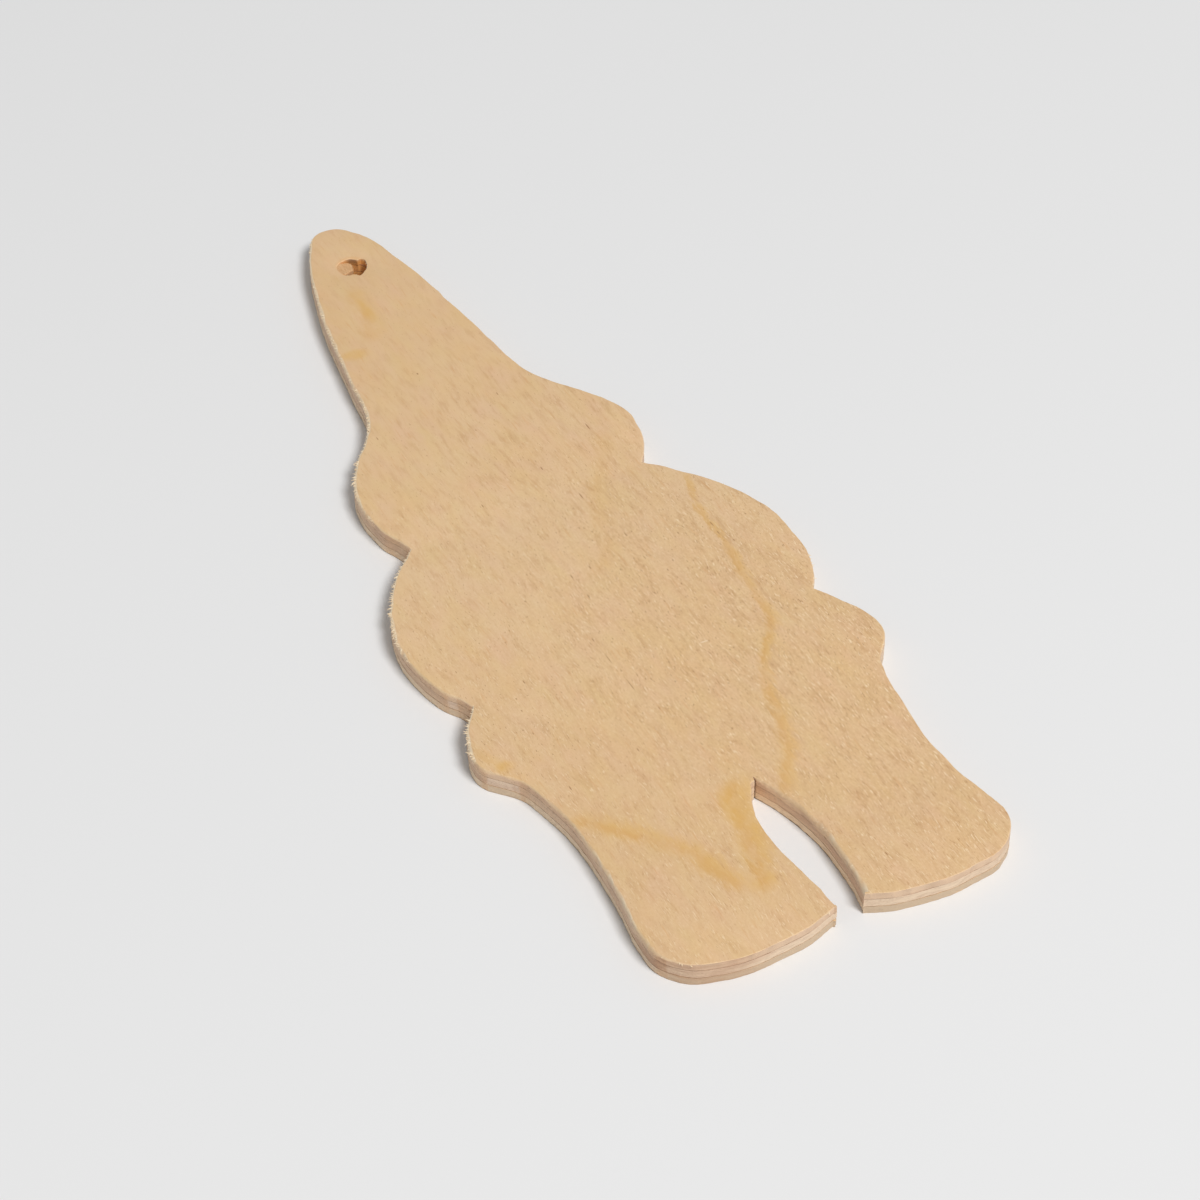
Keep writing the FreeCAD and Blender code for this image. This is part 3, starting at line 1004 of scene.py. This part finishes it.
class FIGURE_OT_hole_plug(bpy.types.Operator):
    """Build the torn plug of veneer that the drill left in the hanging hole"""

    bl_idname = "figure.hole_plug"
    bl_label = "Hole plug"

    def execute(self, context):
        sizes, colours = context.scene.figure_edge, context.scene.figure_colours
        top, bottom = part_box("face_veneer")[1].z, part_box("core_veneer")[0].z
        spots = np.array([spot[:2] for spot in PLUG]) * MM + by_hole(0.0, 0.0)
        depths = np.array([spot[2] for spot in PLUG]) * MM
        rim = Rim(spots, sizes.hole_step, sharp=1.2)
        ragged = rim.patches(top, 0.3, 0.1, seed("plug")) * 0.05 * MM

        def height(point):
            """The plug's top: nearest outline depths count most, with a little torn relief."""
            away = np.linalg.norm(spots - np.array(point[:2]), axis=1) + 0.05 * MM
            depth = (depths / away**2).sum() / (1 / away**2).sum()
            swell = math.sin(point[0] / (0.21 * MM)) * math.sin(point[1] / (0.37 * MM) + 1.0)
            return top - depth - 0.02 * MM * swell

        def rows(rim):
            tops = np.array([height(point) for point in rim.points])
            for share in (0.0, 0.08, 0.25, 0.5, 0.75, 1.0):
                worn = 0.08 * MM if share == 0.0 else 0.0
                yield tops + (bottom - tops) * share, ragged - worn + 0.04 * MM * math.sin(share * 9)

        # Points inside the rim carry the plug's top. None is closer to the rim than to its neighbours.
        pitch = 0.12 * MM
        low, high = rim.points.min(0), rim.points.max(0)
        grid = np.mgrid[low[0]:high[0]:pitch, low[1]:high[1]:pitch].reshape(2, -1).T
        gaps = np.linalg.norm(grid[:, None] - rim.points[None], axis=2)
        nearest = gaps.argmin(1)
        side = ((grid - rim.points[nearest]) * rim.outward[nearest]).sum(1)
        inner = [tuple(spot) for spot in grid[(gaps.min(1) > pitch) & (side < 0)]]
        wood = torn_wood("plug_wood", STAIN.plug, STAIN.plug_dark)
        closed_piece("hole_plug", [rim], rows, height, wood, inner)
        return {"FINISHED"}


class FIGURE_OT_loose_fibres(bpy.types.Operator):
    """Build the fibres that stand out of the sawn edge and the hole"""

    bl_idname = "figure.loose_fibres"
    bl_label = "Loose fibres"

    def execute(self, context):
        sizes, colours = context.scene.figure_edge, context.scene.figure_colours
        board, hole = board_rims()
        rng = np.random.default_rng(seed("shards"))
        # Shards per millimetre where the saw lifts the grain, and all round. Each root is buried in the wood.
        lifted_density, usual_density, buried = 6, 0.6, 0.1
        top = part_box("face_veneer")[1].z
        heights = (board.points[:, 1] - SOLE) / MM
        verts, faces = [], []

        def tuft(rim, places, count, shortest, longest, wide, deepest):
            """Shards at random points among the places, with their sizes in millimetres."""
            for _ in range(count):
                i = rng.choice(places)
                out, along = rim.outward[i], np.array((-rim.outward[i][1], rim.outward[i][0]))
                drop = rng.uniform(0.0, 1.0) ** 1.5 * deepest * MM
                inset = sizes.arris * (0.2 + 0.5 * abs(out[0])) * max(0.0, 1 - drop / sizes.arris_drop)
                root = (*(rim.points[i] - out * (inset + buried * MM)), top - 0.03 * MM - drop)
                way = (*(out + along * rng.uniform(-0.6, 0.6)), rng.uniform(-0.12, 0.02))
                length = inset + (buried + rng.uniform(shortest, longest)) * MM
                bend = (*(along * rng.uniform(-0.4, 0.4)), rng.uniform(-0.15, 0.0))
                shard(
                    verts, faces, root, way, bend, length,
                    wide * rng.uniform(0.5, 1.3) * MM, sizes.hair * rng.uniform(0.5, 1.0),
                )

        for side, low, high, density, longest in FRAYED:
            places = np.flatnonzero((heights > low) & (heights < high) & (board.points[:, 0] * side > 0))
            count = round((high - low) * density)
            tuft(board, places, count, longest * 0.3, longest, wide=0.28, deepest=0.12)
        across, along = board.outward.T
        lifted = np.flatnonzero((across < -0.5) & (along > -0.05) & (heights > 37.0))
        count = round(len(lifted) * sizes.step / MM * lifted_density)
        tuft(board, lifted, count, 0.0, 0.16, wide=0.22, deepest=0.3)
        everywhere, count = np.arange(len(board.points)), round(board.length / MM * usual_density)
        tuft(board, everywhere, count, 0.02, 0.12, wide=0.07, deepest=0.5)
        # The hole is torn the most in this range of angles.
        angles = hole.angles()
        torn = np.flatnonzero((angles > -128) & (angles < -92))
        tuft(hole, torn, 10, 0.05, 0.35, wide=0.3, deepest=0.05)
        tuft(hole, np.arange(len(hole.points)), 8, 0.02, 0.2, wide=0.06, deepest=0.4)
        wood = torn_wood("loose_fibre", colours.torn, STAIN.shard_dark)
        add_piece("loose_fibres", verts, faces, wood)
        return {"FINISHED"}


# Stage

# In metres: the spot that the lamp lights, its distance from there and its width. Its angles are in degrees.
LAMP_AIM, LAMP_REACH, LAMP_WIDTH = (0.0, -0.01, 0.0), 2.2, 0.85
LAMP_AZIMUTH, LAMP_ELEVATION = 14, 54
# The spot that the camera looks at, in mm.
CAMERA_AIM = (0.457, -11.124, 0.0)
FLOOR_RADIUS = 3.0


def stand(name, data, aim, azimuth, elevation, distance):
    """Stands a lamp or a camera so that it looks at the aim. Returns it and the way there from the aim."""
    level = math.cos(elevation)
    way = Vector((math.sin(azimuth) * level, -math.cos(azimuth) * level, math.sin(elevation)))
    made = bpy.data.objects.new(name, data)
    made.location = aim + way * distance
    made.rotation_mode = "QUATERNION"
    made.rotation_quaternion = (-way).to_track_quat("-Z", "Y")
    bpy.context.scene.collection.objects.link(made)
    return made, way


class FIGURE_OT_stage(bpy.types.Operator):
    """Build the floor, the light and the camera"""

    bl_idname = "figure.stage"
    bl_label = "Stage"

    def execute(self, context):
        stage = context.scene.figure_stage
        bm = bmesh.new()
        bmesh.ops.create_circle(bm, cap_ends=True, segments=96, radius=FLOOR_RADIUS)
        mesh = bpy.data.meshes.new("floor")
        bm.to_mesh(mesh)
        bm.free()
        floor = bpy.data.objects.new("floor", mesh)
        floor.location.z = CAD_BOX[0][2] - 0.02 * MM
        context.scene.collection.objects.link(floor)
        finish = Finish("floor")
        cloud = finish.noise((180.0, 180.0, 180.0))
        shade = finish.mix(cloud, [c * 0.99 for c in stage.floor], [c * 1.01 for c in stage.floor])
        mesh.materials.append(finish.surface(shade, 0.9))

        lamp = bpy.data.lights.new("key", "AREA")
        lamp.shape, lamp.size = "DISK", LAMP_WIDTH
        angles = math.radians(LAMP_AZIMUTH), math.radians(LAMP_ELEVATION)
        _, way = stand("key", lamp, Vector(LAMP_AIM), *angles, LAMP_REACH)
        lamp.energy = stage.key * LAMP_REACH**2 * math.pi**2 / way.z

        world = bpy.data.worlds.new("room")
        world.use_nodes = True
        background = world.node_tree.nodes["Background"].inputs
        background["Color"].default_value = (1, 1, 1, 1)
        background["Strength"].default_value = stage.sky
        context.scene.world = world

        camera = bpy.data.cameras.new("camera")
        camera.lens, camera.sensor_width = stage.lens, 36.0
        camera.clip_start, camera.clip_end = 0.01, 10.0
        aim = Vector(CAMERA_AIM) * MM
        eye, _ = stand("camera", camera, aim, stage.azimuth, stage.elevation, stage.distance)
        context.scene.camera = eye
        context.scene.view_settings.view_transform = "Standard"
        return {"FINISHED"}


class FIGURE_PT_panel(bpy.types.Panel):
    """Buttons that build the figure blank, and its settings"""

    bl_idname = "FIGURE_PT_panel"
    bl_label = "Figure Blank"
    bl_space_type = "VIEW_3D"
    bl_region_type = "UI"
    bl_category = "Figure Blank"

    def draw(self, context):
        for operator in OPERATORS:
            self.layout.operator(operator.bl_idname)
        for name, group in SETTINGS.items():
            box = self.layout.box()
            for setting in group.__annotations__:
                box.prop(getattr(context.scene, name), setting)


OPERATORS = (
    FIGURE_OT_back_ply, FIGURE_OT_core_ply, FIGURE_OT_face_ply, FIGURE_OT_glue_lines,
    FIGURE_OT_hole_plug, FIGURE_OT_loose_fibres, FIGURE_OT_stage,
)
SETTINGS = {
    "figure_edge": FigureEdgeSizes, "figure_colours": FigureWoodColours, "figure_stage": FigureStageSettings,
}


def register():
    for cls in (*SETTINGS.values(), *OPERATORS, FIGURE_PT_panel):
        bpy.utils.register_class(cls)
    for name, group in SETTINGS.items():
        setattr(bpy.types.Scene, name, PointerProperty(type=group))


def unregister():
    for name in SETTINGS:
        delattr(bpy.types.Scene, name)
    for cls in (FIGURE_PT_panel, *reversed(OPERATORS), *SETTINGS.values()):
        bpy.utils.unregister_class(cls)


def main():
    register()
    for operator in OPERATORS:
        group, name = operator.bl_idname.split(".")
        getattr(getattr(bpy.ops, group), name)()


if __name__ == "__main__":
    main()
